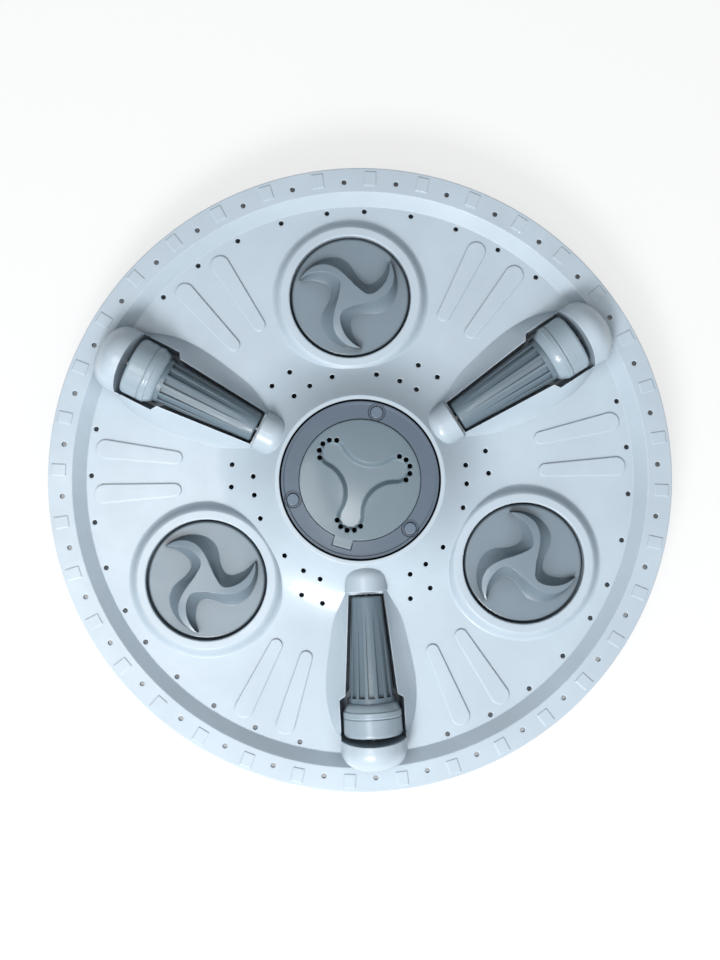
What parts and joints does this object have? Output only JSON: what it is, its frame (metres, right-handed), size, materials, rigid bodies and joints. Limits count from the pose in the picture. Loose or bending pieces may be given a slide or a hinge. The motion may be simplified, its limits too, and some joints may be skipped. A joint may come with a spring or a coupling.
{
  "type": "washing machine pulsator",
  "caption": "Round ribbed washing machine pulsator with turning swirl discs, fluted rollers in domed housings, a centre cap and a splined hub insert.",
  "frame": {"origin": "on the drive axis at the hub's lower face, which the part stands on", "axes": "+Z along the drive axis towards the tub, out of the washing face; +X midway between a roller and a swirl disc, with a roller at 30 degrees and a disc at 90 degrees"},
  "size_m": [0.38, 0.38, 0.0656],
  "materials": {
    "plate_plastic": "pale blue-white moulded plastic with a soft sheen",
    "insert_metal": "dull cast metal",
    "cap_plastic": "satin blue-grey moulded plastic",
    "ring_plastic": "satin darker blue-grey moulded plastic",
    "disc_plastic": "satin grey moulded plastic",
    "bush_plastic": "cream-green smooth plastic",
    "collar_plastic": "pale grey smooth plastic",
    "axle_steel": "plain drawn steel"
  },
  "bodies": {
    "plate": {"pulsator_plate": "plate_plastic", "spline_insert": "insert_metal", "centre_cap": "cap_plastic", "cap_ring": "ring_plastic", "roller_axle_1": "axle_steel", "roller_axle_2": "axle_steel", "roller_axle_3": "axle_steel"},
    "disc_1": {"swirl_disc_1": "disc_plastic", "disc_bush_1": "bush_plastic"},
    "disc_2": {"swirl_disc_2": "disc_plastic", "disc_bush_2": "bush_plastic"},
    "disc_3": {"swirl_disc_3": "disc_plastic", "disc_bush_3": "bush_plastic"},
    "roller_1": {"roller_barrel_1": "disc_plastic", "roller_collar_1": "collar_plastic"},
    "roller_2": {"roller_barrel_2": "disc_plastic", "roller_collar_2": "collar_plastic"},
    "roller_3": {"roller_barrel_3": "disc_plastic", "roller_collar_3": "collar_plastic"}
  },
  "joints": [
    {"name": "disc_1_spin", "type": "hinge", "parent": "plate", "child": "disc_1", "pos_m": [0, 0.1118, 0.03], "axis": [0, 0, 1], "continuous": true},
    {"name": "disc_2_spin", "type": "hinge", "parent": "plate", "child": "disc_2", "pos_m": [-0.09682, -0.0559, 0.03], "axis": [0, 0, 1], "continuous": true},
    {"name": "disc_3_spin", "type": "hinge", "parent": "plate", "child": "disc_3", "pos_m": [0.09682, -0.0559, 0.03], "axis": [0, 0, 1], "continuous": true},
    {"name": "roller_1_spin", "type": "hinge", "parent": "plate", "child": "roller_1", "pos_m": [0.09503, 0.05487, 0.04178], "axis": [0.8639, 0.4988, 0.0698], "continuous": true},
    {"name": "roller_2_spin", "type": "hinge", "parent": "plate", "child": "roller_2", "pos_m": [-0.09503, 0.05487, 0.04178], "axis": [-0.8639, 0.4988, 0.0698], "continuous": true},
    {"name": "roller_3_spin", "type": "hinge", "parent": "plate", "child": "roller_3", "pos_m": [0, -0.10973, 0.04178], "axis": [0, -0.9976, 0.0698], "continuous": true}
  ]
}
